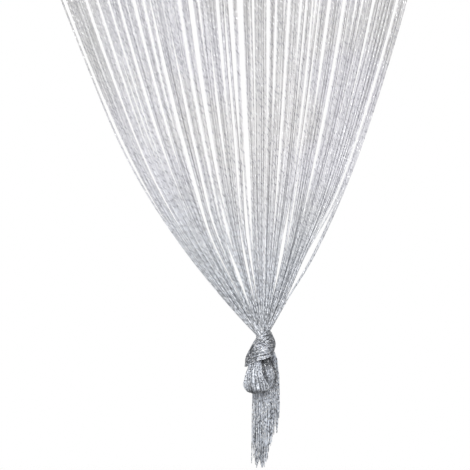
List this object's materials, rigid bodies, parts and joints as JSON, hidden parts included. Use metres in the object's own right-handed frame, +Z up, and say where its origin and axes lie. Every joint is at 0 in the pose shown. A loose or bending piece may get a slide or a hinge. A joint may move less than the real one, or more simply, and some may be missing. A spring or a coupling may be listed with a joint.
{
  "type": "string door curtain",
  "caption": "String door curtain: a heading tape with a rod pocket over a fan of hanging strings, which are gathered and tied in a slipped knot with a bow and loose ends.",
  "frame": {"origin": "middle of the heading tape's top edge, where a rod in the pocket carries the curtain", "axes": "+X across the curtain to the right as seen from the front, -Y out of its front, +Z up; the strings hang towards -Z"},
  "size_m": [0.9, 0.0416, 1.7973],
  "materials": {
    "tape": "woven polyester tape, silver grey, matte",
    "strings": "polyester string with metallic thread, silver grey, a fine glitter"
  },
  "bodies": {
    "root": {"header_tape": "tape", "string_panel": "strings", "knot_and_tail": "strings"}
  },
  "joints": []
}
